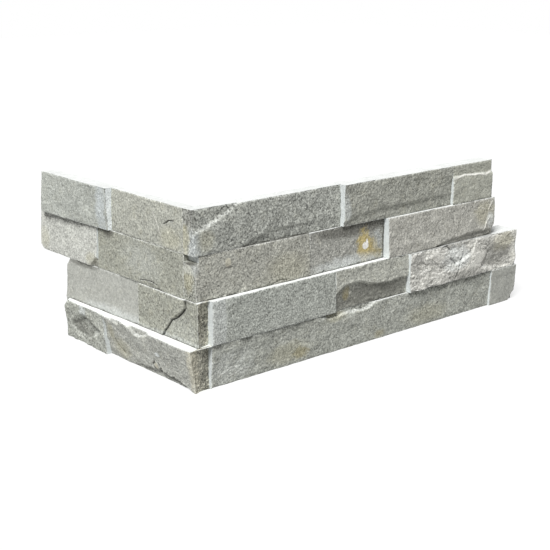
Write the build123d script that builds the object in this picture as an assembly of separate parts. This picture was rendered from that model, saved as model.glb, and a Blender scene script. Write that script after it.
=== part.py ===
from build123d import *
import os
import random
from dataclasses import dataclass
from math import inf

# Corner panel of slate ledger stone: four courses of sawn slate strips with split faces, bonded back to
# face into an L, whose courses pass the outer corner in turn, as fingers do.
#
# Frame, in mm: the origin is the inner corner at the foot of the panel, where the backs of the two legs
# meet. +X runs along the long leg, whose sawn back is the plane Y = 0. +Y runs along the short leg, whose
# sawn back is the plane X = 0. +Z is up. The split faces look towards -Y and -X.

# Driving dimensions
course_height = 37.5
long_leg_depth = 19.0
short_leg_depth = 14.5

# Courses, counted from 0 at the foot, whose stones pass the outer corner on the long leg. In the others
# the short leg's stones pass it.
long_leg_fingers = (2, 3)

# How far a stone that passes the outer corner stops short of, or stands past, the other leg's face
upper_finger_setback = 3.0
lower_finger_reach = 1.0

# A rough end at the corner slants back by this much from its arris to the joint
rough_end_slant = 4.0

# Size of the facets of a split face
facet_length = 9.0
facet_rows = 4

# A cutter runs this far past the edges of the stone, and this far out in front of its face
edge_overrun = 1.5
face_overrun = 4.0

# Straight out of the long leg's face
outwards = (0, -1, 0)

# Sides of a stone, for an outline that opens there
NEAR, FAR = -inf, inf
BED, TOP = -inf, inf


@dataclass
class Break:
    """A piece that split off the face.

    outline goes round its floor as (run, up), with run from the stone's near end and up from its bed.
    depth is how deep the floor lies behind the face. bevel is how far its walls lean outwards, in
    degrees.
    """

    outline: list
    depth: float
    bevel: float = 30.0


@dataclass
class Stone:
    """One strip of slate.

    proud says how far the face stands out past the leg's nominal depth at four places: near the corner
    at the top, far from it at the top, then the same two at the bottom. rough is the height of the
    cleft's facets. end_notch is what is gone from the top of the near end, as its reach along the stone
    and its drop.
    """

    name: str
    length: float
    proud: tuple
    rough: float
    breaks: tuple = ()
    end_notch: tuple = ()


@dataclass
class Course:
    """One row of stones from the corner outwards, at its level from 0 at the bottom."""

    level: int
    stones: list


# Breaks of the long leg, from the top course down

top_corner_recess = Break([(NEAR, 20), (13, 24), (23, 28), (38, 33.5), (49, TOP), (NEAR, TOP)], 2.6, 45)
top_corner_undercut = Break([(52, BED), (66, 4), (90, 8), (130, 9), (FAR, 7), (FAR, BED)], 1.4, 60)
top_middle_ledge = Break([(NEAR, 3), (21, 8), (38, 9.5), (105, 10), (FAR, 11), (FAR, BED), (NEAR, BED)], 1.2)
top_end_chip = Break([(NEAR, 27), (25, 27.5), (FAR, 26), (FAR, TOP), (NEAR, TOP)], 1.6)
upper_end_undercut = Break([(62, BED), (80, 3), (110, 5.5), (FAR, 4), (FAR, BED)], 2.2, 40)
upper_end_corner = Break([(144, BED), (FAR, 8), (FAR, BED)], 3.0, 45)
lower_middle_arch = Break(
    [(NEAR, 14), (11, 22), (29, 22.5), (56, 15.5), (FAR, 16), (FAR, BED), (NEAR, BED)], 3.0, 15)
lower_end_hollow = Break([(108, 9), (118, 24), (150, 18.5), (151, 3), (130, 4)], 2.2, 60)
lower_end_chip = Break([(50, TOP), (66, 17), (88, 24), (98, TOP)], 1.8)
bottom_corner_chip = Break(
    [(118, TOP), (131, course_height - 4), (150, course_height - 2.5), (178, course_height - 3.5),
     (190, TOP)], 3.0)
bottom_end_corner = Break([(33, BED), (FAR, 8), (FAR, BED)], 3.5, 35)

# Stones of the long leg

long_courses = [
    Course(3, [
        Stone("long_top_corner_stone", 163.5, (-4.6, -7.4, -4.6, -5.8), 0.5, (
            top_corner_recess, top_corner_undercut)),
        Stone("long_top_middle_stone", 143.5, (-1.1, -1.3, -1.4, -1.8), 0.7, (top_middle_ledge,)),
        Stone("long_top_end_stone", 59.0, (-0.4, -0.4, 0.2, 0.2), 0.6, (top_end_chip,)),
    ]),
    Course(2, [
        Stone("long_upper_corner_stone", 124.3, (-5.2, -4.2, -2.5, -2.8), 0.4, (), (9.0, 4.5)),
        Stone("long_upper_middle_stone", 93.8, (-4.4, -5.5, -3.4, -5.0), 0.5),
        Stone("long_upper_end_stone", 150.6, (0.2, 2.1, 2.2, 2.8), 0.6, (
            upper_end_undercut, upper_end_corner)),
    ]),
    Course(1, [
        Stone("long_lower_corner_stone", 138.6, (3.9, 2.0, 3.6, 3.5), 0.3),
        Stone("long_lower_middle_stone", 94.7, (2.0, 1.4, 3.4, 3.7), 0.5, (lower_middle_arch,)),
        Stone("long_lower_end_stone", 158.1, (4.9, 4.5, 5.2, 4.8), 1.1, (
            lower_end_hollow, lower_end_chip)),
    ]),
    Course(0, [
        Stone("long_bottom_corner_stone", 355.0, (2.2, 3.1, 0.2, 0.9), 0.5, (bottom_corner_chip,)),
        Stone("long_bottom_end_stone", 39.6, (5.0, 5.0, 3.8, 3.0), 0.4, (bottom_end_corner,)),
    ]),
]

# Breaks of the short leg, from the upper course down

upper_short_end_nick = Break([(NEAR, BED), (9, BED), (5, 5), (NEAR, 9)], 3.0, 20)
upper_short_end_corner = Break([(92, BED), (FAR, 4), (FAR, BED)], 3.0, 20)
lower_short_corner_flake = Break([(15, TOP), (18, 29), (36, 16), (50, BED), (NEAR, BED), (NEAR, TOP)], 1.4, 0)
lower_short_end_corner = Break([(110, TOP), (FAR, course_height - 6), (FAR, TOP)], 3.0)
bottom_short_mid_chip = Break([(58, TOP), (66, course_height - 3), (80, course_height - 4.5), (92, TOP)], 3.0)
bottom_short_far_chip = Break([(96, TOP), (104, course_height - 3), (112, course_height - 2), (120, TOP)], 2.0)
bottom_short_edge = Break([(102, BED), (80, 3), (50, 5), (20, 3), (4, BED)], 2.0)
bottom_short_hollow = Break([(59, 15), (37, 25), (17, 18), (38, 3)], 3.0, 50)
bottom_short_end_corner = Break([(63, TOP), (FAR, course_height - 7), (FAR, TOP)], 4.0)

# Stones of the short leg

short_courses = [
    Course(3, [
        Stone("short_top_corner_stone", 108.2, (-2.8, -5.8, -2.5, -5.6), 0.4),
        Stone("short_top_end_stone", 109.0, (0.5, -0.5, -1.0, 2.0), 0.5),
    ]),
    Course(2, [
        Stone("short_upper_corner_stone", 128.1, (-3.0, -3.8, -2.4, -2.2), 0.4),
        Stone("short_upper_end_stone", 98.0, (-2.0, -2.8, -0.2, -0.6), 0.5, (
            upper_short_end_nick, upper_short_end_corner)),
    ]),
    Course(1, [
        Stone("short_lower_corner_stone", 84.2, (0.6, -0.8, -0.5, -1.0), 0.4, (lower_short_corner_flake,)),
        Stone("short_lower_end_stone", 114.7, (-3.2, -0.8, -1.0, 1.8), 0.4, (lower_short_end_corner,)),
    ]),
    Course(0, [
        Stone("short_bottom_corner_stone", 127.5, (9.5, 9.0, 2.5, -0.2), 0.6, (
            bottom_short_mid_chip, bottom_short_far_chip, bottom_short_edge)),
        Stone("short_bottom_end_stone", 69.9, (8.8, 6.8, 4.8, 3.0), 0.8, (
            bottom_short_hollow, bottom_short_end_corner)),
    ]),
]


def face_depth(stone, nominal_depth, run_share, up_share):
    """Depth of the smooth face at a share of the stone's length and height."""
    near_top, far_top, near_bottom, far_bottom = stone.proud
    top = near_top + (far_top - near_top) * run_share
    bottom = near_bottom + (far_bottom - near_bottom) * run_share
    return nominal_depth + bottom + (top - bottom) * up_share


def cleft_grid(stone, start, bed, nominal_depth, slant):
    """Corners of the face's facets, as columns from the near end to the far one.

    The near end slants back by slant from its arris to the leg's back.
    """
    chance = random.Random(stone.name)
    columns = max(2, round(stone.length / facet_length))
    grid = []
    for i in range(columns + 1):
        column = []
        for j in range(facet_rows + 1):
            run_share = i / columns
            up_share = j / facet_rows
            if 0 < i < columns:
                run_share += chance.uniform(-0.25, 0.25) / columns
            if 0 < j < facet_rows:
                up_share += chance.uniform(-0.2, 0.2) / facet_rows
            depth = face_depth(stone, nominal_depth, run_share, up_share)
            depth += chance.uniform(-stone.rough, stone.rough)
            run = start + stone.length * run_share
            if i == 0:
                run += slant * (1 - depth / nominal_depth)
            column.append(Vector(run, -depth, bed + course_height * up_share))
        grid.append(column)
    return grid


def flat_face(corners):
    """Plane face through the given corners."""
    return Face(Wire.make_polygon(corners, close=True))


def split_face(grid):
    """Triangular facets over the grid, with diagonals that alternate."""
    facets = []
    for i in range(len(grid) - 1):
        for j in range(facet_rows):
            near_low, near_high = grid[i][j], grid[i][j + 1]
            far_low, far_high = grid[i + 1][j], grid[i + 1][j + 1]
            if (i + j) % 2:
                facets.append(flat_face([near_low, far_low, far_high]))
                facets.append(flat_face([near_low, far_high, near_high]))
            else:
                facets.append(flat_face([near_low, far_low, near_high]))
                facets.append(flat_face([far_low, far_high, near_high]))
    return facets


def sawn_block(grid, near_end, far_end, bed):
    """Solid with a split face in front and sawn planes behind, above, below and at both ends."""
    top = bed + course_height
    near_low, near_high = Vector(near_end, 0, bed), Vector(near_end, 0, top)
    far_low, far_high = Vector(far_end, 0, bed), Vector(far_end, 0, top)
    faces = split_face(grid)
    faces.append(flat_face([near_low, far_low, far_high, near_high]))
    faces.append(flat_face([column[0] for column in grid] + [far_low, near_low]))
    faces.append(flat_face([column[-1] for column in grid] + [far_high, near_high]))
    faces.append(flat_face(grid[0] + [near_high, near_low]))
    faces.append(flat_face(grid[-1] + [far_high, far_low]))
    return Solid(Shell(faces))


def within(value, size):
    """The value, or where it is past the stone, a place just outside."""
    return min(max(value, -edge_overrun), size + edge_overrun)


def break_cutter(stone, broken, start, bed, nominal_depth):
    """Block that takes the broken piece away, down to its depth behind the face at the outline's middle."""
    outline = [(within(run, stone.length), within(up, course_height)) for run, up in broken.outline]
    middle_run = sum(run for run, up in outline) / len(outline)
    middle_up = sum(up for run, up in outline) / len(outline)
    face = face_depth(stone, nominal_depth, middle_run / stone.length, middle_up / course_height)
    floor = Plane.XZ.offset(face - broken.depth) * Pos(start, bed)
    sketch = floor * Polygon(*outline, align=None)
    return extrude(sketch, amount=broken.depth + face_overrun, dir=outwards, taper=-broken.bevel)


def notch_cutter(stone, start, bed):
    """Block that takes the top of the near end away, through the whole thickness."""
    reach, drop = stone.end_notch
    corner = Pos(start - edge_overrun, 0, bed + course_height - drop)
    sides = (Align.MIN, Align.CENTER, Align.MIN)
    return corner * Box(reach + edge_overrun, 4 * long_leg_depth, drop + edge_overrun, align=sides)


def make_stone(stone, start, bed, nominal_depth, slant=0.0):
    """One stone of the long leg, or of the short leg before it is mirrored into place."""
    grid = cleft_grid(stone, start, bed, nominal_depth, slant)
    solid = sawn_block(grid, start + slant, start + stone.length, bed)
    for broken in stone.breaks:
        solid -= break_cutter(stone, broken, start, bed, nominal_depth)
    if stone.end_notch:
        solid -= notch_cutter(stone, start, bed)
    return solid


def lay_course(course, start, nominal_depth, slant):
    """Stones of one course, each against the one before it."""
    laid = {}
    bed = course.level * course_height
    for index, stone in enumerate(course.stones):
        laid[stone.name] = make_stone(stone, start, bed, nominal_depth, slant if index == 0 else 0.0)
        start += stone.length
    return laid


# The plane that halves the corner turns a stone laid on the long leg into one on the short leg
corner_mirror = Plane(origin=(0, 0, 0), x_dir=(0, 0, 1), z_dir=(1, -1, 0))

stones = {}
for course in long_courses:
    start = upper_finger_setback - short_leg_depth if course.level in long_leg_fingers else 0.0
    stones.update(lay_course(course, start, long_leg_depth, 0.0))
for course in short_courses:
    passes_corner = course.level not in long_leg_fingers
    start = -long_leg_depth - lower_finger_reach if passes_corner else 0.0
    slant = rough_end_slant if passes_corner else 0.0
    for name, solid in lay_course(course, start, short_leg_depth, slant).items():
        stones[name] = mirror(solid, about=corner_mirror)

os.makedirs("parts", exist_ok=True)
for name, solid in stones.items():
    export_step(solid, f"parts/{name}.step")
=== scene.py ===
import math
from dataclasses import dataclass

import bpy
import numpy as np
from bpy.props import FloatProperty, FloatVectorProperty, IntProperty, PointerProperty
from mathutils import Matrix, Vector, noise
from mathutils.bvhtree import BVHTree


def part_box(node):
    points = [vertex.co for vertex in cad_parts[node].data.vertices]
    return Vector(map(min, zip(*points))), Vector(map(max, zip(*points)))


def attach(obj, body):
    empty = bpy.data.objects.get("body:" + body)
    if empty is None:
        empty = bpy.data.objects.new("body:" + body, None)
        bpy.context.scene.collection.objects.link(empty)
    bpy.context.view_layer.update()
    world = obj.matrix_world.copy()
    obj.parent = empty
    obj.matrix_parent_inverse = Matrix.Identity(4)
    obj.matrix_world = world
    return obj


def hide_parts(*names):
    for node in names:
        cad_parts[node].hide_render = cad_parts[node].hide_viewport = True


bl_info = {
    "name": "Slate Ledger Stone Corner",
    "version": (1, 0, 0),
    "blender": (4, 5, 0),
    "location": "View3D > Sidebar > Ledger Stone",
    "description": "Split slate strips of a ledger stone corner, with the studio they stand in",
    "category": "Object",
}

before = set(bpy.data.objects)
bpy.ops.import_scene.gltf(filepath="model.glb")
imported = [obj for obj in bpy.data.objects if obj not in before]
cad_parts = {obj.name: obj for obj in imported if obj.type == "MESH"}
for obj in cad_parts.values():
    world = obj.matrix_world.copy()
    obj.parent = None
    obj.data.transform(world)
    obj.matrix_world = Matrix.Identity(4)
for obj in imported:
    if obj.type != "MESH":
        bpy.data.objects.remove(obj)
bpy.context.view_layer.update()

# Everything is measured in mm and written to the meshes in metres
MM = 0.001


def srgb(red, green, blue):
    """Linear colour, with alpha, of a colour written as 0 to 255."""
    def linear(value):
        share = value / 255
        return share / 12.92 if share <= 0.04045 else ((share + 0.055) / 1.055) ** 2.4
    return (linear(red), linear(green), linear(blue), 1.0)


@dataclass
class Leg:
    """One side of the panel. Its wall lies at depth 0, and depth grows towards the split faces."""

    along: Vector
    outward: Vector
    mirrored: bool


LEGS = {
    "long": Leg(Vector((1, 0, 0)), Vector((0, -1, 0)), False),
    "short": Leg(Vector((0, 1, 0)), Vector((-1, 0, 0)), True),
}


@dataclass
class Spot:
    """A stain, or with the colour shade a spot of painted shade: its colour, its centre from the stone's
    near end and bed, its radii, how much it covers, how ragged its outline is and how softly it fades out.

    deep is its centre and radius in depth, for a spot that stays on the near end.
    """

    colour: str
    run: float
    up: float
    wide: float
    high: float
    strength: float = 1.0
    ragged: float = 3.5
    fade: float = 1.2
    deep: tuple = ()


@dataclass
class Crack:
    """A crack cut into the face along points (run, up), darkened with painted shade, or where its depth is
    negative, a pale vein.
    """

    points: tuple
    width: float
    depth: float


@dataclass
class Finish:
    """How one strip of slate split, and its colour.

    speckle is the contrast of its mineral grains, and the share of dust and painted light on its narrow
    ledge is how pale that ledge is, where less leaves more of the joint's painted shade. wander is how far
    its steps stray from a straight break and soften how round they are, in mm. end_tone is the colour of its
    near end, where that isn't freshly sawn, and end_relief is how roughly that end broke, in mm. end_notch
    is what is gone from the near end's top, as its reach and its drop.
    """

    tone: tuple
    undulation: float = 0.5
    layers: float = 0.6
    grain: float = 0.22
    stretch: float = 1.0
    warmth: float = 0.3
    speckle: float = 0.8
    ledge_dust_and_light: float = 1.0
    wander: float = 1.2
    soften: float = 0.5
    spots: tuple = ()
    cracks: tuple = ()
    end_tone: tuple = ()
    end_relief: float = 0.0
    end_notch: tuple = ()


# Spots coloured shade are painted shade: in hollows, pockets and crevices and under overhanging stones.
FINISHES = {
    "long_top_corner_stone": Finish(
        (169, 171, 164), 0.6, 0.45, 0.26, warmth=0.2, speckle=1.2, wander=0.5, soften=0.9,
        end_tone=(166, 167, 160), end_relief=0.5, spots=(
            Spot("shade", 0, 34, 3, 11, 0.35), Spot("blue", 1, 8, 6, 11, 0.45, 4.0, 2.0),
            Spot("tan", 0, 12, 9, 13, 0.6, 4.0, 1.5, (2, 6)), Spot("tan", 12, 11, 8, 8, 0.3, 3.5, 2.0))),
    "long_top_middle_stone": Finish((164, 165, 156), 0.5, 0.5, 0.32, warmth=0.4, soften=0.9, spots=(
        Spot("blue", 3, 14, 4, 12, 0.35, 4.0, 2.0),)),
    "long_top_end_stone": Finish((176, 177, 166), 0.4, 0.7, 0.2, warmth=0.4, speckle=0.4, cracks=(
        Crack(((1, 24.7), (9, 26), (17, 27.3), (28, 26), (38, 25.8), (47, 24), (58, 27)), 0.6, -0.5),)),
    "long_upper_corner_stone": Finish(
        (172, 172, 163), 0.4, 0.35, 0.25, warmth=0.35, speckle=1.0, ledge_dust_and_light=0.1, end_tone=(155, 156, 147),
        end_relief=0.5, end_notch=(5.0, 6.5), spots=(
            Spot("buff", 33.8, 27.5, 3.2, 3.6, 0.8, 1.0, 0.6),
            Spot("shade", 35, 23.5, 3.4, 1.2, 0.7, 1.0, 0.6),
            Spot("tan", 0, 20, 9, 12, 0.5, 4.0, 1.5, (5, 7)), Spot("chalk", 0, 27, 4, 5, 0.4, 2.0, 2.0),
            Spot("shade", 0, 34, 5, 4.5, 0.9, 1.5, 0.8, (8, 9)),
            Spot("tan", 98, 12, 22, 12, 0.25, 4.0, 2.0)),
        cracks=(Crack(((80, 0.5), (88, 2.5), (97, 2)), 0.5, 0.6),)),
    "long_upper_middle_stone": Finish((170, 170, 163), 0.4, 0.4, 0.22, speckle=1.0, spots=(
        Spot("shade", 52, 35, 48, 8, 0.68, 1.5), Spot("shade", 92.5, 19, 1.4, 22, 0.8, 0.6),
        Spot("ochre", 67, 17, 8, 14, 0.9, 6.0, 1.4), Spot("ochre", 76, 13, 9, 10, 0.75, 6.0, 1.4),
        Spot("rust", 85, 6, 6, 5, 0.75, 4.0, 1.0), Spot("blue", 84, 19, 5, 9, 0.35, 5.0, 2.0),
        Spot("quartz", 69, 15.5, 3.9, 3.5, 1.0, 0.8, 0.3), Spot("quartz", 71, 19, 1.4, 2.6, 1.0, 0.5, 0.3),
        Spot("chalk", 46, 1, 40, 8, 0.7, 2.5, 2.0))),
    "long_upper_end_stone": Finish((182, 181, 173), 0.5, 0.6, 0.26, stretch=0.6, warmth=0.3, spots=(
        Spot("tan", 136, 24, 14, 11, 0.4, 4.0, 2.0), Spot("chalk", 144, 16, 5, 7, 0.6, 3.5, 2.0),
        Spot("shade", 115, 4, 28, 4, 0.15)),
        cracks=(Crack(((146, 34), (141, 26), (144, 19), (139, 14), (135, 6)), 0.7, -0.6),
                Crack(((128, 30), (136, 27), (139, 20)), 0.5, -0.4))),
    "long_lower_corner_stone": Finish(
        (172, 175, 168), 0.3, 0.2, 0.16, stretch=1.6, warmth=0.1, speckle=1.1, spots=(
            Spot("chalk", 6, 18, 8, 30, 0.4, 1.5, 0.7),)),
    "long_lower_middle_stone": Finish((178, 179, 170), 0.4, 0.6, 0.24, warmth=0.3, spots=(
        Spot("shade", 48, 7, 58, 10, 0.62, 5.5), Spot("rust", 15, 15, 5, 6, 0.5, 5.0, 1.5))),
    "long_lower_end_stone": Finish(
        (206, 205, 198), 0.9, 1.6, 0.3, warmth=0.25, speckle=0.7, ledge_dust_and_light=0.5, spots=(
            Spot("shade", 134, 12, 20, 7, 0.5, 2.0), Spot("tan", 138, 28, 16, 9, 0.45, 4.0, 2.0),
            Spot("chalk", 66, 22, 20, 12, 0.5), Spot("shade", 82, 5, 22, 5, 0.35)),
        cracks=(Crack(((56, 24), (61, 21), (66, 16)), 0.8, 1.4),
                Crack(((48, 37), (53, 36), (59, 31)), 0.6, 1.0),
                Crack(((78, 24), (72, 17), (65, 4)), 0.7, 1.2))),
    "long_bottom_corner_stone": Finish(
        (173, 175, 167), 0.4, 0.45, 0.21, warmth=0.35, speckle=0.9, spots=(
            Spot("chalk", 20, 14, 22, 14, 0.25, 3.5, 2.0), Spot("rust", 97, 9, 9, 5, 0.5, 6.0, 1.5),
            Spot("tan", 84, 12, 22, 9, 0.35, 4.0, 2.0), Spot("rust", 197, 5, 7, 4, 0.4, 5.0, 1.5),
            Spot("tan", 140, 33, 12, 4, 0.4, 4.0, 2.0), Spot("tan", 262, 11, 26, 9, 0.3, 4.0, 2.0)),
        cracks=(Crack(((7, 14), (9, 10), (8, 7)), 0.4, -0.3),
                Crack(((9, 10), (15, 11), (20, 14)), 0.4, -0.3),
                Crack(((15, 11), (18, 6), (25, 8)), 0.4, -0.3), Crack(((20, 14), (29, 13)), 0.4, -0.25),
                Crack(((18, 6), (14, 3)), 0.4, -0.25), Crack(((25, 8), (33, 10), (41, 9)), 0.4, -0.25))),
    "long_bottom_end_stone": Finish((176, 177, 170), 0.3, 0.2, 0.14, warmth=0.15, speckle=0.3),
    "short_top_corner_stone": Finish(
        (178, 179, 169), 0.4, 0.3, 0.22, warmth=0.5, speckle=0.8, end_tone=(178, 179, 169), cracks=(
            Crack(((26.8, 19.9), (19.8, 23.8), (13, 24.7)), 0.5, 0.9),
            Crack(((42, 27), (38, 21), (30, 6)), 0.5, -0.3)),
        spots=(Spot("tan", 18, 9, 14, 9, 0.3, 4.0, 2.0),)),
    "short_top_end_stone": Finish((176, 179, 172), 0.5, 0.5, 0.2, warmth=0.25, speckle=0.7, spots=(
        Spot("blue", 9, 18, 6, 40, 0.65, 6.5, 3.0),), end_tone=(236, 241, 242)),
    "short_upper_corner_stone": Finish(
        (161, 162, 151), 0.4, 0.3, 0.24, warmth=0.45, end_tone=(161, 162, 151), cracks=(
            Crack(((62, 3.2), (53.1, 4.3), (45, 4.6), (37.6, 3.4)), 0.4, 0.7),),
        spots=(Spot("shade", 111, 37, 9, 6, 0.8, 1.0), Spot("chalk", 60, 20, 25, 14, 0.2, 4.0, 2.0))),
    "short_upper_end_stone": Finish((196, 197, 190), 0.5, 0.4, 0.24, warmth=0.15, speckle=0.65, spots=(
        Spot("tan", 90, 11, 8, 9, 0.3, 4.0, 2.0), Spot("tan", 8, 6, 8, 6, 0.4, 5.0, 2.5),
        Spot("shade", 5, 2, 6, 3, 0.5, 1.5))),
    "short_lower_corner_stone": Finish(
        (162, 163, 152), 0.3, 0.25, 0.2, warmth=0.5, speckle=1.0, cracks=(
            Crack(((15.9, 37), (16.2, 30), (20.9, 25), (29.4, 18.6), (35, 16.4), (39.5, 10.5), (48.4, 0)),
                  0.55, 1.8),),
        spots=(Spot("chalk", 20, 8, 20, 13, 0.12, 2.5), Spot("chalk", 30, 0, 55, 3.5, 0.4, 2.0, 2.0),
               Spot("shade", 0, 22, 9, 18, 0.3, 6.0, 1.2, (6, 7)),
               Spot("buff", 0, 3, 9, 5, 0.5, 3.0, 1.5, (3, 5))),
        end_tone=(168, 166, 151), end_relief=1.6),
    "short_lower_end_stone": Finish((176, 177, 170), 0.3, 0.15, 0.15, warmth=0.15, speckle=0.3, spots=(
        Spot("shade", 88, 37.5, 24, 4, 0.6, 1.0), Spot("chalk", 30, 0, 50, 7, 0.5, 2.0, 2.0))),
    "short_bottom_corner_stone": Finish(
        (176, 177, 170), 0.4, 0.5, 0.24, warmth=0.35, cracks=(
            Crack(((117, 18), (111, 12), (105, 7.7)), 0.7, 1.2),
            Crack(((58, 13), (61, 10), (59, 6)), 0.6, 1.2),
            Crack(((53, 13), (50, 9), (53, 5), (45, 6), (36, 4), (31, 6)), 0.6, 1.2)),
        spots=(Spot("buff", 0, 16, 7, 26, 0.75, 5.0, 1.2, (21, 9)),
               Spot("shade", 0, 18, 9, 26, 0.35, 6.0, 1.2, (2, 9)),
               Spot("tan", 121, 24, 5, 8, 0.4, 3.5, 2.0), Spot("tan", 108, 12, 12, 9, 0.35, 4.0, 2.0),
               Spot("chalk", 51.5, 21, 3.5, 2.2, 0.9, 1.5, 0.6),
               Spot("buff", 56, 9.5, 2.5, 3, 0.8, 1.0, 0.6)),
        end_tone=(182, 180, 166), end_relief=1.6),
    "short_bottom_end_stone": Finish((168, 170, 162), 0.7, 1.0, 0.3, warmth=0.2, speckle=1.0, spots=(
        Spot("shade", 45, 15, 12, 6, 0.5, 2.0), Spot("shade", 26, 11, 9, 5, 0.4, 2.0),
        Spot("chalk", 36, 32, 5, 6, 0.6))),
}

STAIN_AND_SHADE_COLOURS = {
    "ochre": srgb(192, 175, 120),
    "rust": srgb(152, 140, 96),
    "tan": srgb(180, 175, 145),
    "buff": srgb(200, 196, 178),
    "quartz": srgb(248, 246, 240),
    "chalk": srgb(216, 220, 218),
    "blue": srgb(202, 209, 211),
    # Painted shade, for the spots in hollows, pockets and crevices and under overhanging stones
    "shade": srgb(92, 91, 84),
}


class LedgerSurface(bpy.types.PropertyGroup):
    """Sizes and colours of the slate's surfaces."""

    pitch: FloatProperty(name="Mesh pitch", description="Distance between points of a split face, in mm",
                         default=0.55, min=0.3)
    relief: FloatProperty(name="Relief", description="Share of the relief that the split faces get",
                          default=1.0, min=0.0, subtype="FACTOR")
    arris_wear: FloatProperty(name="Arris wear", description="Depth worn off the sharp edges, in mm",
                              default=0.35, min=0.0)
    chip: FloatProperty(name="Chips", description="Depth of the chips along the edges, in mm",
                        default=0.9, min=0.0)
    saw_relief: FloatProperty(name="Saw marks", description="Depth of the marks on sawn faces, in mm",
                              default=0.12, min=0.0)
    seed: IntProperty(name="Seed", description="Start of the stones' random patterns", default=7)
    sawn: FloatVectorProperty(name="Sawn slate", description="Colour of the sawn ends and backs",
                              subtype="COLOR", size=4, min=0, max=1, default=srgb(218, 223, 222))
    # Pale colour of the tops and of faces turned up: dust, and painted light on them
    dust_and_top_light: FloatVectorProperty(name="Slate dust", description="Colour of the dusty tops", subtype="COLOR",
                               size=4, min=0, max=1, default=srgb(236, 238, 236))
    # Painted shade in the joint under a stone
    joint_shade: FloatVectorProperty(name="Joint", description="Colour deep in the joint under a stone",
                               subtype="COLOR", size=4, min=0, max=1, default=srgb(94, 93, 86))


class LedgerStudio(bpy.types.PropertyGroup):
    """Camera and lights."""

    camera_place: FloatVectorProperty(name="Camera", description="Where the camera stands",
                                      subtype="TRANSLATION", unit="LENGTH", size=3,
                                      default=(-0.5255, -0.7049, 0.3384))
    heading: FloatProperty(name="Heading", description="Direction of view from +X towards +Y",
                           subtype="ANGLE", default=math.radians(49.07))
    dip: FloatProperty(name="Dip", description="How far the view points down", subtype="ANGLE",
                       default=math.radians(15.64))
    lens: FloatProperty(name="Lens", description="Focal length for a 36 mm sensor", unit="CAMERA",
                        default=73.4)
    key_side: FloatVectorProperty(name="Key side", description="Where the key light comes from",
                                  subtype="XYZ", size=3, default=(-0.5, -0.3, 0.8))
    key_strength: FloatProperty(name="Key light", description="Strength of the key light", default=4.0)
    key_spread: FloatProperty(name="Key spread",
                              description="How wide the key light is, seen from the object",
                              subtype="ANGLE", default=math.radians(20))
    sky: FloatProperty(name="Sky", description="Strength of the light from all round", default=0.15)


class Term:
    """A node's output socket that can be used in sums, where each operation adds a Math node."""

    def __init__(self, net, socket):
        self.net = net
        self.socket = socket

    def math(self, operation, *others):
        terms = [self, *others]
        inputs = {index: term for index, term in enumerate(terms)}
        return self.net.add("ShaderNodeMath", {"operation": operation}, inputs)

    def __add__(self, other):
        return self.math("ADD", other)

    def __radd__(self, other):
        return self.math("ADD", other)

    def __sub__(self, other):
        return self.math("SUBTRACT", other)

    def __rsub__(self, other):
        return self.net.add("ShaderNodeMath", {"operation": "SUBTRACT"}, {0: other, 1: self})

    def __mul__(self, other):
        return self.math("MULTIPLY", other)

    def __rmul__(self, other):
        return self.math("MULTIPLY", other)

    def __truediv__(self, other):
        return self.math("DIVIDE", other)

    def floor(self):
        return self.math("FLOOR")

    def limited(self):
        """The same number, held between 0 and 1."""
        return self.math("MAXIMUM", 0.0).math("MINIMUM", 1.0)

    def smooth(self, low, high):
        """0 below low and 1 above high, with a smooth step between."""
        inputs = {"Value": self, "From Min": low, "From Max": high}
        return self.net.add("ShaderNodeMapRange", {"interpolation_type": "SMOOTHSTEP"}, inputs)


class Net:
    """Adds nodes to one tree."""

    def __init__(self, tree):
        self.tree = tree

    def add(self, kind, settings=None, inputs=None, output=0):
        """A node of this kind, its settings made first and then its inputs. Returns one of its outputs."""
        node = self.tree.nodes.new(kind)
        for name, value in (settings or {}).items():
            setattr(node, name, value)
        for name, value in (inputs or {}).items():
            if isinstance(value, Term):
                self.tree.links.new(value.socket, node.inputs[name])
            else:
                node.inputs[name].default_value = value
        return Term(self, node.outputs[output])

    def scaled(self, vector, factor):
        return self.add("ShaderNodeVectorMath", {"operation": "SCALE"}, {0: vector, "Scale": factor})

    def vector(self, operation, first, second):
        return self.add("ShaderNodeVectorMath", {"operation": operation}, {0: first, 1: second})

    def dot(self, first, second):
        return self.add("ShaderNodeVectorMath", {"operation": "DOT_PRODUCT"}, {0: first, 1: second}, "Value")

    def noise(self, place, size, seed, detail=2.0, roughness=0.5):
        """Noise between 0 and 1 whose features are about this many mm across."""
        inputs = {"Vector": place, "W": seed, "Scale": 1 / size, "Detail": detail, "Roughness": roughness}
        return self.add("ShaderNodeTexNoise", {"noise_dimensions": "4D"}, inputs)

    def blend(self, first, second, share):
        """Colour that goes from first to second."""
        share_socket, first_socket, second_socket, result = 0, 6, 7, 2
        inputs = {share_socket: share, first_socket: first, second_socket: second}
        return self.add("ShaderNodeMix", {"data_type": "RGBA"}, inputs, result)


def attribute(net, name):
    """A number stored on the mesh, in a material."""
    return net.add("ShaderNodeAttribute", {"attribute_name": name}, output="Fac")


def spot_mask(net, place, stone, spot, ragged):
    """How much of the spot shows at each place: its strength inside and 0 outside, with a ragged edge."""
    wide = (net.dot(place, tuple(stone.leg.along)) - (stone.near + spot.run)) / spot.wide
    high = (net.dot(place, (0, 0, 1)) - (stone.bed + spot.up)) / spot.high
    distance = (wide * wide + high * high) + (ragged - 0.5) * spot.ragged
    if spot.deep:
        centre, radius = spot.deep
        deep = (net.dot(place, tuple(stone.leg.outward)) - centre) / radius
        distance = distance + deep * deep
    return (1 - distance.smooth(1 - spot.fade / 2, 1 + spot.fade / 2)) * spot.strength


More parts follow.
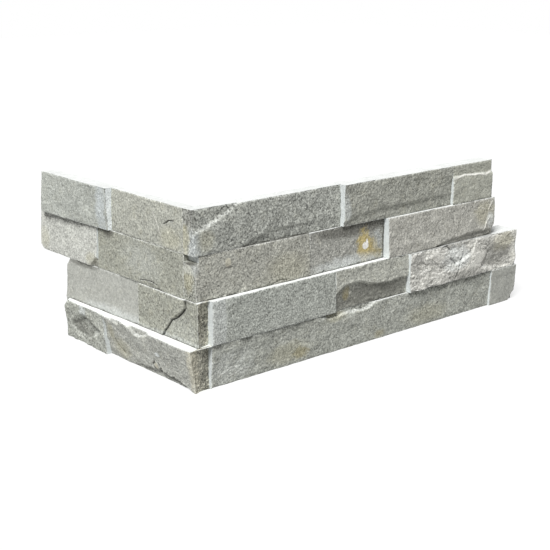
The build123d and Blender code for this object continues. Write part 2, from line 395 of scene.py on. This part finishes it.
def slate_material(stone):
    """Split slate on the face, sawn slate behind it and, where the stone has one, a broken end."""
    surface = bpy.context.scene.ledger_surface
    finish, seed = stone.finish, stone.seed
    darkest = 0.2
    material = bpy.data.materials.new(stone.node + "_slate")
    material.use_nodes = True
    net = Net(material.node_tree)
    shader = material.node_tree.nodes["Principled BSDF"]
    place = net.scaled(net.add("ShaderNodeTexCoord", output="Object"), 1 / MM)

    fleck = net.noise(place, 2.2, seed, 4, 0.75)
    speck = net.noise(place, 1.4, seed + 1, 1, 0.5)
    patch = net.noise(place, 16, seed + 2, 3, 0.6)
    ragged = net.noise(place, 7, seed + 3, 5, 0.7)
    cloud = net.noise(place, 9, seed + 4, 4, 0.6)
    streak = net.noise(net.vector("MULTIPLY", place, (0.12, 0.12, 1)), 1.6, seed + 6, 2, 0.6)
    facing = net.add("ShaderNodeNewGeometry", output="Normal")
    upward = net.dot(facing, (0, 0, 1)).smooth(0.35, 0.8)

    # The split face: mineral grains; painted light where its relief stands out, painted shade in its
    # hollows, under the stone above and in its cracks; paler on faces turned up, with dust and painted
    # light, and on its worn edges
    grains = (speck - 0.5) * 2.4 * finish.speckle
    brightness = 1 + (fleck - 0.5) * 1.3 + grains + (patch - 0.5) * 0.35
    # Painted light where the relief stands out and painted shade in its hollows
    brightness = brightness + attribute(net, "relief") * 0.12 - attribute(net, "hollow") * 0.16
    # Painted shade under the stone above
    brightness = (brightness - attribute(net, "overhang_shade") * 0.4).math("MAXIMUM", darkest)
    split = net.scaled(srgb(*finish.tone)[:3], brightness)
    warm = ragged.smooth(0.48, 0.72) * finish.warmth * 0.5
    split = net.blend(split, net.scaled(srgb(176, 171, 144)[:3], brightness), warm)
    # Paler on faces turned up: partly dust, partly painted light
    pale = net.scaled(tuple(surface.dust_and_top_light)[:3], brightness)
    split = net.blend(split, pale, upward * 0.3)
    worn = (1 - attribute(net, "border").smooth(0.2, 1.2)) * fleck.smooth(0.35, 0.6)
    split = net.blend(split, pale, worn * 0.35)
    # Cracks darkened with painted shade, veins paler
    crack = attribute(net, "crack")
    split = net.scaled(split, 1 - crack.limited() * 0.65)
    split = net.blend(split, STAIN_AND_SHADE_COLOURS["quartz"], (crack * -1).limited() * 0.6)

    # The near end where it isn't freshly sawn, and the stains and spots of painted shade that it shares with
    # the face
    mottle = (fleck - 0.5) * 1.8 + (ragged - 0.5) * 1.6 + (speck - 0.5) * 4
    mottle = 1 + mottle * (1.0 if finish.end_relief else 0.3)
    broken = net.scaled(srgb(*(finish.end_tone or finish.tone))[:3], mottle.math("MAXIMUM", darkest))
    # Stains, and spots of painted shade where their colour is shade
    for spot in finish.spots:
        tint = net.scaled(STAIN_AND_SHADE_COLOURS[spot.colour][:3], 1 + (fleck - 0.5) * 0.9 + grains * 0.6)
        mask = spot_mask(net, place, stone, spot, ragged)
        split = net.blend(split, tint, mask)
        broken = net.blend(broken, tint, mask)

    # The sawn sides; their tops take dust and painted light where they stand clear of the stone above, and
    # the joint's painted shade where they are under it
    saw_marks = 1 + (cloud - 0.5) * 0.3 + (fleck - 0.5) * 0.12 + (streak - 0.5) * 0.3
    ledge = attribute(net, "ledge") + (fleck - 0.5) * 0.8
    # Dust and painted light on a ledge that stands clear of the stone above, the joint's painted shade where
    # it doesn't
    dust_and_top_light = (ledge.smooth(0.2, 1.1) * finish.ledge_dust_and_light).math("MAXIMUM", ledge.smooth(5, 8))
    top = net.blend(tuple(surface.joint_shade), tuple(surface.dust_and_top_light), dust_and_top_light)
    body = net.scaled(net.blend(tuple(surface.sawn), top, upward), saw_marks)
    body = net.blend(body, broken, attribute(net, "near_end").smooth(0.1, 0.4))
    edge = attribute(net, "split") + (speck - 0.5) * 0.3
    colour = net.blend(body, split, edge.smooth(0.3, 0.7))

    net.tree.links.new(colour.socket, shader.inputs["Base Color"])
    roughness = 0.8 + (fleck - 0.5) * 0.25
    net.tree.links.new(roughness.socket, shader.inputs["Roughness"])
    height = net.noise(place, 0.7, seed + 5, 3, 0.6)
    bump = net.add("ShaderNodeBump", None, {"Strength": 0.7, "Distance": 0.0006, "Height": height})
    net.tree.links.new(bump.socket, shader.inputs["Normal"])
    shader.inputs["Specular IOR Level"].default_value = 0.3
    return material


@dataclass
class Stone:
    """One stone's place, read from the frame: its ends along the leg, its bed and its top, in mm."""

    node: str
    leg: Leg
    finish: Finish
    near: float
    near_back: float
    far: float
    bed: float
    top: float
    thickest: float
    seed: float


def read_stone(node, seed):
    """The stone's place, with its near end at the split face and at the wall, where they differ."""
    leg = LEGS[node.split("_")[0]]
    low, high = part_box(node)
    near, far = sorted((leg.along.dot(low) / MM, leg.along.dot(high) / MM))
    thickest = max(leg.outward.dot(low) / MM, leg.outward.dot(high) / MM)
    on_wall = 1e-5
    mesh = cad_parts[node].data
    backs = [leg.along.dot(v.co) / MM for v in mesh.vertices if abs(leg.outward.dot(v.co)) < on_wall]
    return Stone(node, leg, FINISHES[node], near, min(backs), far, low.z / MM, high.z / MM, thickest, seed)


def cad_tree(node):
    """The CAD stone's mesh, ready for rays."""
    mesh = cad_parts[node].data
    return BVHTree.FromPolygons([v.co for v in mesh.vertices], [tuple(p.vertices) for p in mesh.polygons])


def split_depths(stone, runs, ups):
    """Depth of the CAD stone's face under each point of the grid, read a little way off at random so
    that the steps in it wander as a break does."""
    leg, wander = stone.leg, stone.finish.wander
    tree = cad_tree(stone.node)
    end_margin, edge_margin, wander_size, clearance = 0.8, 0.1, 7.0, 10
    # Unless it is given a seed, mathutils starts its noise from the clock
    wander_seed = 1
    noise.seed_set(wander_seed)
    start = leg.outward * (stone.thickest + clearance) * MM
    depths = np.zeros((len(runs), len(ups)))
    # From the far end, so that a place past a slanting near end takes the depth of the face beside it
    for i, run in reversed(list(enumerate(runs))):
        for j, up in enumerate(ups):
            shift = noise.noise_vector(Vector((run, up, stone.seed * 9)) / wander_size) * wander
            at_run = min(max(run + shift.x, stone.near + end_margin), stone.far - end_margin)
            at_up = min(max(up + shift.y, stone.bed + edge_margin), stone.top - edge_margin)
            origin = start + leg.along * at_run * MM + Vector((0, 0, at_up * MM))
            hit = tree.ray_cast(origin, -leg.outward)[0]
            depths[i, j] = leg.outward.dot(hit) / MM if hit else depths[i + 1, j]
    return depths


def depths_above(stone, runs):
    """Depth of the face that stands on top of this stone at each run, or well behind the wall if none."""
    nothing, clearance, reach = -10.0, 1.5, 60.0
    leg = stone.leg
    start = leg.outward * reach * MM + Vector((0, 0, stone.top + clearance)) * MM
    depths = np.full(len(runs), nothing)
    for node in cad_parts:
        low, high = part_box(node)
        if not low.z / MM < stone.top + clearance < high.z / MM:
            continue
        tree = cad_tree(node)
        for i, run in enumerate(runs):
            hit = tree.ray_cast(start + leg.along * run * MM, -leg.outward)[0]
            if hit:
                depths[i] = max(depths[i], leg.outward.dot(hit) / MM)
    # A near end that stands out past the stone above takes the depth of that stone's end
    covered = np.flatnonzero(depths > nothing)
    if len(covered):
        depths[:covered[0]] = depths[covered[0]]
    return depths


def blurred(field, radius):
    """The field with its detail smaller than radius, in cells, smoothed away."""
    reach = int(radius * 3)
    weights = np.exp(-0.5 * (np.arange(-reach, reach + 1) / radius) ** 2)
    weights /= weights.sum()
    for axis in (0, 1):
        padded = np.pad(field, [(reach, reach) if a == axis else (0, 0) for a in (0, 1)], mode="edge")
        count = field.shape[axis]
        field = sum(w * np.take(padded, range(k, k + count), axis) for k, w in enumerate(weights))
    return field


def crack_depths(stone, runs, ups):
    """How far the stone's cracks cut into the face at each point of the grid, and its veins stand out."""
    cut = np.zeros((len(runs), len(ups)))
    run, up = np.meshgrid(runs - stone.near, ups - stone.bed, indexing="ij")
    for crack in stone.finish.cracks:
        for (x0, y0), (x1, y1) in zip(crack.points, crack.points[1:]):
            dx, dy = x1 - x0, y1 - y0
            share = np.clip(((run - x0) * dx + (up - y0) * dy) / (dx * dx + dy * dy), 0, 1)
            distance = np.hypot(run - x0 - share * dx, up - y0 - share * dy)
            line = crack.depth * np.clip(1.5 - distance / crack.width, 0, 1)
            cut = np.where(abs(line) > abs(cut), line, cut)
    return cut


def notched(run, up, stone):
    """Draws the grid in at the near end's top, so that its edge goes round the notch there."""
    reach, drop = stone.finish.end_notch
    across = 2 - (run - stone.near) / reach
    down = 2 - (stone.top - up) / drop
    inside = (across > 0) & (down > 0)
    share = np.where(inside, np.maximum(across, down) / 2, 1)
    edge_across = across / share
    edge_down = down / share
    # How far round the old edge, from 0 two drops below the top to 4 two reaches along it
    way = np.where(edge_across >= edge_down, edge_down, 4 - edge_across)
    edge_across = np.interp(way, [0, 1, 2, 3, 4], [2, 2, 1, 1, 0])
    edge_down = np.interp(way, [0, 1, 2, 3, 4], [0, 1, 1, 2, 2])
    new_run = stone.near + (2 - edge_across * share) * reach
    new_up = stone.top - (2 - edge_down * share) * drop
    return np.where(inside, new_run, run), np.where(inside, new_up, up)


def perimeter(columns, rows):
    """Grid indices round the face's edge, anticlockwise from the near bottom corner."""
    bottom = [(i, 0) for i in range(columns)]
    far = [(columns, j) for j in range(rows)]
    top = [(i, rows) for i in range(columns, 0, -1)]
    near = [(0, j) for j in range(rows, 0, -1)]
    return bottom + far + top + near


def split_face(stone, runs, ups, above, pitch):
    """Depths of the split face over the grid, and what its relief and its colour go by at each point."""
    hollow_size, full_crack = 4.0, 0.5
    shade_length, shortest_shade, full_overhang = 4, 0.1, 1.5
    depths = blurred(split_depths(stone, runs, ups), stone.finish.soften / pitch)
    # How deep each point lies in a hollow, for the painted shade there
    hollow = blurred(depths, hollow_size / pitch) - depths
    cracks = crack_depths(stone, runs, ups)
    depths = depths - cracks

    run, up = np.meshgrid(runs, ups, indexing="ij")
    across = np.minimum(run - stone.near, stone.far - run)
    # Painted shade under the stone above: how far it overhangs each point, and how far down the shade
    # reaches
    overhang = np.maximum(above[:, None] - depths, 0)
    shade = np.clip(1 - (stone.top - up) / (overhang * shade_length + shortest_shade), 0, 1)
    return depths, {
        "split": np.ones_like(depths),
        "border": np.minimum(across, np.minimum(up - stone.bed, stone.top - up)),
        "hollow": hollow,
        "overhang_shade": shade * np.clip(overhang / full_overhang, 0, 1),
        "crack": np.clip(cracks / full_crack, -1, 1),
    }


def slanted(run, depths, stone):
    """Draws the grid's first columns along with a near end that slants back to the wall."""
    reach = 12
    lean = (stone.near_back - stone.near) * (1 - depths[0] / depths[0].max())
    return run + lean * np.clip(1 - (run - stone.near) / reach, 0, 1)


def wall_rings(stone, edge, run, up, depths, above):
    """Rings of points from the face's edge back to the wall, with near_end and ledge along each of them.

    near_end is 1 on a near end that isn't freshly sawn. ledge is how far the point stands clear of the
    stone above, in mm.
    """
    first_ring, ledge_rise, rim = 0.4, 1.5, 1.5
    rough_rings, sawn_rings, crowding = 24, 7, 1.6
    columns = np.array([i for i, j in edge])
    edge_runs, edge_ups, edge_depths = [
        np.array([field[place] for place in edge]) for field in (run, up, depths)]
    edge_above, edge_width = above[columns], (depths[:, -1] - above)[columns]
    at_near = columns == 0
    if stone.finish.end_relief:
        shares = np.linspace(0, 1, rough_rings)
    else:
        shares = np.linspace(0, 1, sawn_rings) ** crowding
    rings, near_end, ledge = [], [], []
    for share in shares:
        ring_depths = (edge_depths - first_ring) * (1 - share)
        slant = (stone.near_back - edge_runs) * (1 - ring_depths / edge_depths)
        rings.append(np.stack([edge_runs + np.where(at_near, slant, 0), ring_depths, edge_ups], -1))
        near_end.append(at_near * float(bool(stone.finish.end_tone)))
        ledge.append(np.minimum((ring_depths - edge_above) * ledge_rise, edge_width))

    # The back has a rim of its own, so that the colour of a broken end stops at its edge
    back = rings[-1].copy()
    for axis in (0, 2):
        low, high = back[:, axis].min(), back[:, axis].max()
        back[:, axis] = np.interp(back[:, axis], (low, high), (low + rim, high - rim))
    nothing = np.zeros(len(edge))
    return [*rings, back], [*near_end, nothing], [*ledge, nothing]


def mesh_faces(grid, edge, ring_count):
    """The quads of the split face, those between the rings round it, and one face for the back."""
    faces = [np.stack([grid[:-1, :-1], grid[1:, :-1], grid[1:, 1:], grid[:-1, 1:]], -1).reshape(-1, 4)]
    ring = np.array([grid[place] for place in edge])
    for count in range(ring_count):
        behind = grid.size + count * len(edge) + np.arange(len(edge))
        faces.append(np.stack([ring, behind, np.roll(behind, -1), np.roll(ring, -1)], -1))
        ring = behind
    return [tuple(face) for face in np.concatenate(faces).tolist()] + [tuple(ring[::-1].tolist())]


def stone_mesh(stone):
    """Closed mesh of one stone: a dense grid over the split face and rings of points back to the wall."""
    pitch = bpy.context.scene.ledger_surface.pitch * 1
    columns = round((stone.far - stone.near) / pitch)
    rows = round((stone.top - stone.bed) / pitch)
    runs = np.linspace(stone.near, stone.far, columns + 1)
    ups = np.linspace(stone.bed, stone.top, rows + 1)
    above = depths_above(stone, runs)
    depths, values = split_face(stone, runs, ups, above, pitch)

    run, up = np.meshgrid(runs, ups, indexing="ij")
    run = slanted(run, depths, stone)
    if stone.finish.end_notch:
        run, up = notched(run, up, stone)
    edge = perimeter(columns, rows)
    rings, near_end, ledge = wall_rings(stone, edge, run, up, depths, above)
    points = np.concatenate([np.stack([run, depths, up], -1).reshape(-1, 3), *rings])
    basis = np.array([stone.leg.along, stone.leg.outward, (0, 0, 1)])
    grid = np.arange((columns + 1) * (rows + 1)).reshape(columns + 1, rows + 1)
    faces = mesh_faces(grid, edge, len(rings))
    if stone.leg.mirrored:
        faces = [face[::-1] for face in faces]

    mesh = bpy.data.meshes.new(stone.node + "_face")
    mesh.from_pydata((points @ basis * MM).tolist(), [], faces)
    off_face = np.zeros(len(points) - grid.size)
    values = {name: np.concatenate([value.ravel(), off_face]) for name, value in values.items()}
    values["near_end"] = np.concatenate([np.zeros(grid.size), *near_end])
    values["ledge"] = np.concatenate([np.repeat(depths[:, -1] - above, rows + 1), *ledge])
    for name, value in values.items():
        mesh.attributes.new(name, "FLOAT", "POINT").data.foreach_set("value", value.astype(np.float32))
    return mesh


RELIEF_INPUTS = {
    "Outward": ("NodeSocketVector", (0, -1, 0)),
    "Along": ("NodeSocketVector", (1, 0, 0)),
    "Low Corner": ("NodeSocketVector", (0, 0, 0)),
    "High Corner": ("NodeSocketVector", (1, 1, 1)),
    "Undulation": ("NodeSocketFloat", 0.5),
    "Layers": ("NodeSocketFloat", 0.6),
    "Grain": ("NodeSocketFloat", 0.2),
    "Stretch": ("NodeSocketFloat", 1.0),
    "Chips": ("NodeSocketFloat", 1.3),
    "Arris Wear": ("NodeSocketFloat", 0.35),
    "Saw Marks": ("NodeSocketFloat", 0.12),
    "End Relief": ("NodeSocketFloat", 0.0),
    "Seed": ("NodeSocketFloat", 0.0),
    "Material": ("NodeSocketMaterial", None),
}


def relief_tree():
    """Geometry Nodes that split, chip and saw a stone's surfaces. Heights and widths are in mm."""
    tree = bpy.data.node_groups.new("split_slate_relief", "GeometryNodeTree")
    tree.is_modifier = True
    tree.interface.new_socket("Geometry", in_out="INPUT", socket_type="NodeSocketGeometry")
    for name, (kind, default) in RELIEF_INPUTS.items():
        socket = tree.interface.new_socket(name, in_out="INPUT", socket_type=kind)
        if default is not None:
            socket.default_value = default
    tree.interface.new_socket("Geometry", in_out="OUTPUT", socket_type="NodeSocketGeometry")
    net = Net(tree)
    group_input = tree.nodes.new("NodeGroupInput")
    given = {name: Term(net, group_input.outputs[name]) for name in ["Geometry", *RELIEF_INPUTS]}

    def stored(name):
        return net.add("GeometryNodeInputNamedAttribute", {"data_type": "FLOAT"}, {"Name": name})

    position = net.add("GeometryNodeInputPosition")
    place = net.scaled(position, 1 / MM)
    seed = given["Seed"]
    split, border, near_end = stored("split"), stored("border"), stored("near_end")

    along = net.dot(place, given["Along"])
    out = net.dot(place, given["Outward"])
    up = net.dot(place, (0, 0, 1))
    stretch = given["Stretch"]
    bedding = net.add("ShaderNodeCombineXYZ", None, {0: along / 26, 1: out / 12, 2: up / 13})
    grain_place = net.add("ShaderNodeCombineXYZ", None, {0: along / stretch, 1: out, 2: up * stretch})

    undulation = (net.noise(place, 38, seed, 2) - 0.5) * 2 * given["Undulation"]
    # The split goes from one layer of the slate to another in steps
    step_count = 9
    levels = net.noise(bedding, 1.0, seed + 1, 4, 0.55) * step_count
    lower = levels.floor()
    steps = (lower + (levels - lower).smooth(0.38, 0.62)) / step_count
    layers = (steps - 0.5) * 4 * given["Layers"]
    coarse = (net.noise(grain_place, 4.0, seed + 2, 3, 0.6) - 0.5) * 5
    fine = (net.noise(grain_place, 1.8, seed + 3, 3, 0.7) - 0.5) * 5
    grain = (coarse + fine) * given["Grain"]
    height = undulation + layers + grain

    near_edge = 1 - border.smooth(0.0, 2.6)
    chips = net.noise(place, 5.5, seed + 4, 3, 0.6).smooth(0.52, 0.72) * near_edge * given["Chips"]
    wear = (1 - border.smooth(0.0, 0.9)) * given["Arris Wear"]
    out_shift = (height - chips - wear) * split
    lumps = net.noise(place, 6, seed + 5, 4, 0.65) - 0.45
    end_shift = (lumps * 2.6 + fine * 0.3) * near_end * given["End Relief"]
    saw = net.noise(place, 2.5, seed + 6, 3) * given["Saw Marks"] * (1 - split) * (1 - near_end)

    normal = net.add("GeometryNodeInputNormal")
    shift = net.scaled(given["Outward"], out_shift * MM)
    shift = net.vector("ADD", shift, net.scaled(given["Along"], end_shift * MM))
    shift = net.vector("SUBTRACT", shift, net.scaled(normal, saw * MM))
    moved = net.vector("ADD", position, shift)
    # Nothing moves out of the CAD stone's box
    moved = net.vector("MINIMUM", net.vector("MAXIMUM", moved, given["Low Corner"]), given["High Corner"])

    shape = net.add("GeometryNodeStoreNamedAttribute", {"data_type": "FLOAT", "domain": "POINT"},
                    {"Geometry": given["Geometry"], "Name": "relief", "Value": layers + grain - chips})
    shape = net.add("GeometryNodeSetPosition", None, {"Geometry": shape, "Position": moved})
    shape = net.add("GeometryNodeSetShadeSmooth", {"domain": "FACE"},
                    {"Geometry": shape, "Shade Smooth": True})
    sharp = net.add("GeometryNodeInputMeshEdgeAngle").math("GREATER_THAN", math.radians(50))
    shape = net.add("GeometryNodeSetShadeSmooth", {"domain": "EDGE"},
                    {"Geometry": shape, "Selection": sharp, "Shade Smooth": False})
    shape = net.add("GeometryNodeRealizeInstances", None, {"Geometry": shape})
    shape = net.add("GeometryNodeSetMaterial", None, {"Geometry": shape, "Material": given["Material"]})
    output = tree.nodes.new("NodeGroupOutput")
    tree.links.new(shape.socket, output.inputs["Geometry"])
    return tree


def split_stone(stone, tree):
    """The stone as a finished object, with its relief made plain mesh."""
    surface = bpy.context.scene.ledger_surface
    finish = stone.finish
    piece = bpy.data.objects.new(stone.node + "_slate", stone_mesh(stone))
    bpy.context.scene.collection.objects.link(piece)
    low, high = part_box(stone.node)
    values = {
        "Outward": stone.leg.outward,
        "Along": stone.leg.along,
        "Low Corner": low,
        "High Corner": high,
        "Undulation": finish.undulation * surface.relief,
        "Layers": finish.layers * surface.relief,
        "Grain": finish.grain * surface.relief,
        "Stretch": finish.stretch,
        "Chips": surface.chip,
        "Arris Wear": surface.arris_wear,
        "Saw Marks": surface.saw_relief,
        "End Relief": finish.end_relief,
        "Seed": stone.seed,
        "Material": slate_material(stone),
    }
    modifier = piece.modifiers.new("relief", "NODES")
    modifier.node_group = tree
    for item in tree.interface.items_tree:
        if item.in_out == "INPUT" and item.name in values:
            modifier[item.identifier] = values[item.name]
    graph = bpy.context.evaluated_depsgraph_get()
    evaluated = piece.evaluated_get(graph)
    mesh = bpy.data.meshes.new_from_object(evaluated, preserve_all_data_layers=True, depsgraph=graph)
    piece.modifiers.clear()
    piece.data = mesh
    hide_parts(stone.node)
    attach(piece, "root")
    return piece


def lay_leg(leg_name):
    """Every stone of one leg."""
    tree = bpy.data.node_groups.get("split_slate_relief") or relief_tree()
    seed = bpy.context.scene.ledger_surface.seed
    for index, node in enumerate(sorted(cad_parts)):
        if node.startswith(leg_name):
            split_stone(read_stone(node, seed + 10 * index), tree)


class LEDGER_OT_long_leg(bpy.types.Operator):
    """Split and lay the stones of the long leg"""

    bl_idname = "ledger.long_leg"
    bl_label = "Long leg"

    def execute(self, context):
        lay_leg("long")
        return {"FINISHED"}


class LEDGER_OT_short_leg(bpy.types.Operator):
    """Split and lay the stones of the short leg"""

    bl_idname = "ledger.short_leg"
    bl_label = "Short leg"

    def execute(self, context):
        lay_leg("short")
        return {"FINISHED"}


def seen_directly(net):
    """1 for a ray that shows something to the camera, straight or by a reflection, and 0 for any other."""
    path = net.tree.nodes.new("ShaderNodeLightPath")
    camera, glossy, transmission = [
        Term(net, path.outputs[name]) for name in ("Is Camera Ray", "Is Glossy Ray", "Is Transmission Ray")]
    return camera.math("MAXIMUM", glossy).math("MAXIMUM", transmission)


def floor_material():
    """Plain pale floor, which the camera sees as white except where the object shades it."""
    material = bpy.data.materials.new("floor_white")
    material.use_nodes = True
    net = Net(material.node_tree)
    nodes = material.node_tree.nodes
    nodes.clear()
    matte = net.add("ShaderNodeBsdfDiffuse", None, {"Color": srgb(188, 188, 188)})
    glow = net.add("ShaderNodeEmission", None, {"Color": (1, 1, 1, 1), "Strength": 1.5})
    surface = net.add("ShaderNodeMixShader", None, {0: seen_directly(net) * 0.5, 1: matte, 2: glow})
    output = nodes.new("ShaderNodeOutputMaterial")
    net.tree.links.new(surface.socket, output.inputs["Surface"])
    return material


def make_floor():
    half = 4.0
    corners = [(-half, -half, 0), (half, -half, 0), (half, half, 0), (-half, half, 0)]
    mesh = bpy.data.meshes.new("floor")
    mesh.from_pydata(corners, [], [(0, 1, 2, 3)])
    mesh.materials.append(floor_material())
    floor = bpy.data.objects.new("floor", mesh)
    bpy.context.scene.collection.objects.link(floor)


def make_sky(strength):
    """Even light from all round, which the camera sees as white."""
    world = bpy.data.worlds.new("studio")
    bpy.context.scene.world = world
    world.use_nodes = True
    net = Net(world.node_tree)
    light = seen_directly(net) * (1 - strength) + strength
    background = world.node_tree.nodes["Background"]
    background.inputs["Color"].default_value = (1, 1, 1, 1)
    net.tree.links.new(light.socket, background.inputs["Strength"])


def make_key_light(studio):
    """Broad even light from one side, as from a large soft box."""
    side = Vector(studio.key_side)
    light = bpy.data.lights.new("key_light", "SUN")
    light.energy = studio.key_strength
    light.angle = studio.key_spread
    lamp = bpy.data.objects.new("key_light", light)
    lamp.location = side * 2
    lamp.rotation_euler = (-side).to_track_quat("-Z", "Y").to_euler()
    bpy.context.scene.collection.objects.link(lamp)


def make_camera(studio):
    """The camera stands where the photograph was taken from, and is level."""
    camera = bpy.data.cameras.new("camera")
    camera.lens = studio.lens
    camera.sensor_width = 36.0
    holder = bpy.data.objects.new("camera", camera)
    flat = math.cos(studio.dip)
    view = Vector((math.cos(studio.heading) * flat, math.sin(studio.heading) * flat, -math.sin(studio.dip)))
    holder.location = studio.camera_place
    holder.rotation_euler = view.to_track_quat("-Z", "Y").to_euler()
    bpy.context.scene.collection.objects.link(holder)
    bpy.context.scene.camera = holder


class LEDGER_OT_stage(bpy.types.Operator):
    """Set the floor, the lights and the camera"""

    bl_idname = "ledger.stage"
    bl_label = "Stage"

    def execute(self, context):
        scene = context.scene
        studio = scene.ledger_studio
        scene.view_settings.view_transform = "Standard"
        make_floor()
        make_sky(studio.sky)
        make_key_light(studio)
        make_camera(studio)
        return {"FINISHED"}


class LEDGER_PT_panel(bpy.types.Panel):
    """The sizes, colours and pieces of the ledger stone corner"""

    bl_idname = "LEDGER_PT_panel"
    bl_label = "Ledger Stone"
    bl_space_type = "VIEW_3D"
    bl_region_type = "UI"
    bl_category = "Ledger Stone"

    def draw(self, context):
        for group in (context.scene.ledger_surface, context.scene.ledger_studio):
            for name in group.__annotations__:
                self.layout.prop(group, name)
        for operator in OPERATORS:
            self.layout.operator(operator.bl_idname)


OPERATORS = (LEDGER_OT_stage, LEDGER_OT_long_leg, LEDGER_OT_short_leg)
CLASSES = (LedgerSurface, LedgerStudio, *OPERATORS, LEDGER_PT_panel)


def register():
    for cls in CLASSES:
        bpy.utils.register_class(cls)
    bpy.types.Scene.ledger_surface = PointerProperty(type=LedgerSurface)
    bpy.types.Scene.ledger_studio = PointerProperty(type=LedgerStudio)


def unregister():
    del bpy.types.Scene.ledger_studio
    del bpy.types.Scene.ledger_surface
    for cls in reversed(CLASSES):
        bpy.utils.unregister_class(cls)


def main():
    register()
    bpy.ops.ledger.stage()
    bpy.ops.ledger.long_leg()
    bpy.ops.ledger.short_leg()


if __name__ == "__main__":
    main()
